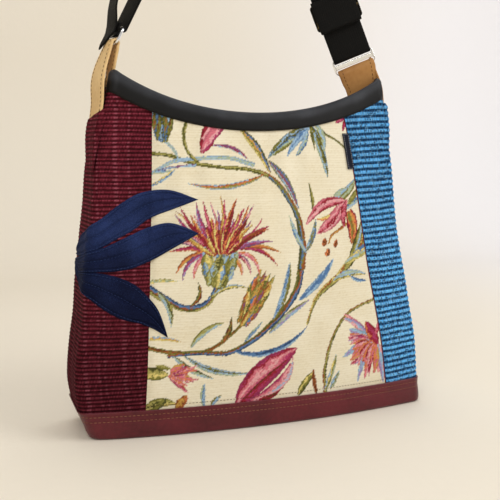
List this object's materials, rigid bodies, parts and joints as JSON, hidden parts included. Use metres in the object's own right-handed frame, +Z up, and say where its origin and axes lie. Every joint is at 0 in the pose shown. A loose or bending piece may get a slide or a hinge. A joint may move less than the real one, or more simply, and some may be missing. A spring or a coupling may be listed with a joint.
{
  "type": "carpet bag",
  "caption": "Upright open-topped carpet bag pieced from tapestry, ribbed and looped cloth over a leather base, with a bound rim and a webbing shoulder strap on metal plates.",
  "frame": {"origin": "middle of the flat underside of the leather base", "axes": "+X to the viewer's right, -Y out of the front, +Z up to the strap's top"},
  "size_m": [0.3511, 0.109, 0.5593],
  "materials": {
    "tapestry": "woven tapestry with a floral figure on cream",
    "burgundy_cloth": "ribbed upholstery cloth",
    "blue_cloth": "looped boucle cloth",
    "base_leather": "smooth burgundy leather, soft sheen",
    "board": "plain bag board",
    "lining_cloth": "plain cotton lining",
    "band_cloth": "smooth black binding",
    "leaf_cloth": "navy cloth with a stitched vein",
    "label_cloth": "blank woven tab",
    "tab_leather": "tan vegetable leather",
    "plate_metal": "bright polished",
    "webbing": "ribbed black webbing",
    "slider_metal": "dark plated, worn bright on its edges"
  },
  "bodies": {
    "bag": {"tapestry_panel": "tapestry", "burgundy_panel": "burgundy_cloth", "blue_panel": "blue_cloth", "back_panel": "burgundy_cloth", "leather_base": "base_leather", "base_board": "board", "lining": "lining_cloth", "front_band": "band_cloth", "back_band": "band_cloth", "leaf_upper": "leaf_cloth", "leaf_middle": "leaf_cloth", "leaf_lower": "leaf_cloth", "label_tab": "label_cloth", "left_tab": "tab_leather", "right_tab": "tab_leather", "strap": "webbing", "strap_left_end": "webbing", "strap_return": "webbing"},
    "left_ring": {"left_ring": "plate_metal"},
    "right_ring": {"right_ring": "plate_metal"},
    "slider": {"slider": "slider_metal", "slider_sleeve": "webbing"}
  },
  "joints": [
    {"name": "left_ring_swing", "type": "hinge", "parent": "bag", "child": "left_ring", "pos_m": [-0.12917, 0, 0.36341], "axis": [0.1394, -0.9877, -0.071], "range_deg": [-20, 20], "deforming": ["left_tab"]},
    {"name": "right_ring_swing", "type": "hinge", "parent": "bag", "child": "right_ring", "pos_m": [0.1045, 0, 0.3506], "axis": [0.8311, -0.4226, 0.3614], "range_deg": [-20, 20], "deforming": ["right_tab"]},
    {"name": "adjuster_slide", "type": "slide", "parent": "bag", "child": "slider", "axis": [-0.3987, 0, 0.9171], "range_m": [0, 0.045], "deforming": ["strap_return"]}
  ]
}
